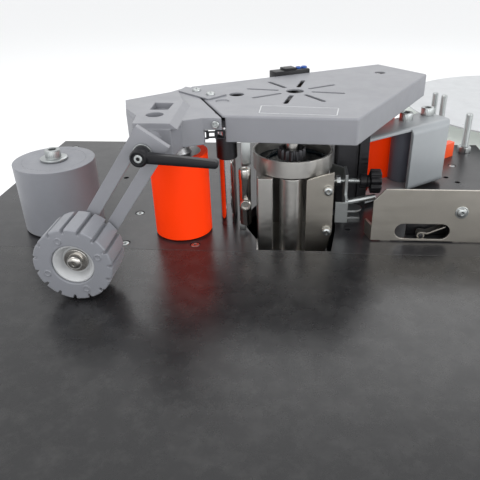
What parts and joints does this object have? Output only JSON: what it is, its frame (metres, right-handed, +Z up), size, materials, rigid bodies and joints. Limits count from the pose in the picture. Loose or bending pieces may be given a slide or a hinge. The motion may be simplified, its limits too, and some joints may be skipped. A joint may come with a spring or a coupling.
{
  "type": "edge banding machine",
  "caption": "Bench-top edge banding machine: table with glue unit, rubber-covered feed rollers, chain-driven head, hold-down wheel, tape fence and tape reel.",
  "frame": {"origin": "on the bench, in the middle of the four bench bolts through the rubber feet", "axes": "+X along the panel's edge to the tape fence and the infeed side, +Y back from the operator, +Z up"},
  "size_m": [1.0005, 1.035, 0.3734],
  "materials": {
    "black_table": "satin black coating",
    "black_board": "satin black laminate",
    "grey_paint": "semi-gloss silver-grey paint",
    "light_grey_paint": "smooth light grey paint",
    "body_paint": "fine textured grey powder coat",
    "grey_rubber": "matte grey rubber",
    "dark_grey_rubber": "matte dark grey rubber",
    "orange_rubber": "satin orange polyurethane",
    "orange_plastic": "satin orange plastic",
    "black_plastic": "satin black plastic",
    "black_steel": "blackened steel",
    "white_nylon": "smooth white nylon",
    "pale_disc": "smooth pale plastic",
    "steel": "machined steel",
    "stainless": "brushed stainless sheet",
    "zinc": "zinc-plated steel",
    "chrome_steel": "polished chrome",
    "nickel": "nickel-plated",
    "aluminium_core": "turned aluminium",
    "bronze": "sintered bronze",
    "red_plastic": "glossy red plastic",
    "green_plastic": "glossy green plastic"
  },
  "bodies": {
    "machine_frame": {"rear_table_plate": "black_table", "front_table_board": "black_board", "base_shell": "body_paint", "rear_panel": "body_paint", "bottom_pan": "zinc", "rubber_feet": "dark_grey_rubber", "machine_screws": "zinc", "gear_motor": "aluminium_core", "control_panel": "black_plastic", "temperature_controller": "black_plastic", "mains_inlet": "black_plastic", "shaft_bearings": "bronze", "head_plate": "black_steel", "head_posts": "chrome_steel", "post_collar": "black_steel", "head_casting": "grey_paint", "cover_shell": "grey_paint", "joint_plate": "grey_paint", "air_valve": "black_plastic", "drive_chain": "steel", "axle_bolts": "zinc", "glue_pot": "steel", "glue_ring": "steel", "scraper_bar": "steel", "glue_tank": "black_steel", "heater_cartridges": "stainless", "dosing_bracket": "zinc", "pot_clamp": "nickel", "tape_fence": "stainless", "fence_hardware": "zinc", "guide_studs": "zinc", "edge_block": "orange_plastic", "reel_arm": "body_paint"},
    "drive_unit": {"drive_shaft": "steel", "drive_sprocket": "black_steel"},
    "feed_unit": {"feed_roller_sleeve": "orange_rubber", "feed_roller_core": "aluminium_core", "feed_sprocket": "black_steel"},
    "glue_unit": {"glue_roller": "steel", "glue_sprocket": "black_steel"},
    "infeed_unit": {"infeed_roller_sleeve": "orange_rubber", "infeed_roller_core": "aluminium_core", "infeed_sprocket": "black_steel"},
    "pressure_unit": {"pressure_roller_sleeve": "grey_rubber", "pressure_roller_core": "grey_rubber"},
    "arm_swivel": {"arm_block": "zinc"},
    "hold_down_arm": {"slotted_arm": "grey_paint", "wheel_axle": "zinc"},
    "hold_down_wheel": {"hold_wheel": "grey_rubber", "wheel_hub": "white_nylon"},
    "clamp_handle": {"clamp_lever": "black_plastic"},
    "dosing_screw": {"dosing_knob": "black_plastic"},
    "dosing_slide": {"dosing_plate": "stainless"},
    "fork": {"fork_frame": "light_grey_paint", "pinch_bolt": "zinc"},
    "pinch_unit": {"pinch_roller": "dark_grey_rubber"},
    "tape_clip": {"spring_clip": "stainless"},
    "reel": {"tape_reel": "pale_disc"},
    "stop_control": {"emergency_stop": "red_plastic"},
    "start_control": {"start_button": "green_plastic"}
  },
  "joints": [
    {"name": "feed_spin", "type": "hinge", "parent": "machine_frame", "child": "feed_unit", "pos_m": [-0.0715, 0.0276, 0.275], "axis": [0, 0, 1], "continuous": true},
    {"name": "drive_spin", "type": "hinge", "parent": "machine_frame", "child": "drive_unit", "pos_m": [0.045, 0.15, 0.29], "axis": [0, 0, 1], "continuous": true},
    {"name": "glue_spin", "type": "hinge", "parent": "machine_frame", "child": "glue_unit", "pos_m": [0.0424, 0.0375, 0.27], "axis": [0, 0, 1], "continuous": true},
    {"name": "infeed_spin", "type": "hinge", "parent": "machine_frame", "child": "infeed_unit", "pos_m": [0.13805, 0.18884, 0.275], "axis": [0, 0, 1], "continuous": true},
    {"name": "pressure_spin", "type": "hinge", "parent": "machine_frame", "child": "pressure_unit", "pos_m": [-0.2065, 0.0394, 0.267], "axis": [0, 0, 1], "continuous": true},
    {"name": "arm_swing", "type": "hinge", "parent": "machine_frame", "child": "arm_swivel", "pos_m": [-0.0776, -0.069, 0.3512], "axis": [0, 1, 0], "range_deg": [0, 60]},
    {"name": "arm_slide", "type": "slide", "parent": "arm_swivel", "child": "hold_down_arm", "axis": [0.5721, 0, 0.8202], "range_m": [0, 0.045]},
    {"name": "wheel_spin", "type": "hinge", "parent": "hold_down_arm", "child": "hold_down_wheel", "pos_m": [-0.13722, -0.092, 0.26574], "axis": [0, 1, 0], "continuous": true},
    {"name": "lever_turn", "type": "hinge", "parent": "machine_frame", "child": "clamp_handle", "pos_m": [-0.0776, -0.08, 0.3512], "axis": [0, 1, 0], "range_deg": [-60, 30]},
    {"name": "dosing_turn", "type": "hinge", "parent": "machine_frame", "child": "dosing_screw", "pos_m": [0.11, 0.05, 0.2795], "axis": [1, 0, 0], "range_deg": [-360, 360]},
    {"name": "dosing_move", "type": "slide", "parent": "machine_frame", "child": "dosing_slide", "axis": [1, 0, 0], "range_m": [-0.001, 0.001]},
    {"name": "fork_swing", "type": "hinge", "parent": "machine_frame", "child": "fork", "pos_m": [0.20714, 0.18839, 0.275], "axis": [0, 0, 1], "range_deg": [0, 12], "stiffness_Nm_per_rad": 1.5},
    {"name": "pinch_spin", "type": "hinge", "parent": "fork", "child": "pinch_unit", "pos_m": [0.17755, 0.16585, 0.275], "axis": [0, 0, 1], "continuous": true},
    {"name": "clip_swing", "type": "hinge", "parent": "machine_frame", "child": "tape_clip", "pos_m": [0.1754, 0.016, 0.2358], "axis": [0, 1, 0], "range_deg": [-10, 12], "stiffness_Nm_per_rad": 0.05},
    {"name": "reel_spin", "type": "hinge", "parent": "machine_frame", "child": "reel", "pos_m": [0.4615, 0.494, 0.23], "axis": [0, 0, 1], "continuous": true},
    {"name": "stop_push", "type": "slide", "parent": "machine_frame", "child": "stop_control", "axis": [0, 1, 0], "range_m": [0, 0.0035]},
    {"name": "start_push", "type": "slide", "parent": "machine_frame", "child": "start_control", "axis": [0, 1, 0], "range_m": [0, 0.0035], "stiffness_N_per_m": 300}
  ],
  "couplings": [
    {"joint": "drive_spin", "follows": "feed_spin", "ratio": 1.25},
    {"joint": "glue_spin", "follows": "feed_spin", "ratio": 1.5},
    {"joint": "infeed_spin", "follows": "feed_spin", "ratio": 1},
    {"joint": "dosing_move", "follows": "dosing_turn", "m_per_rad": 0.00015915}
  ]
}
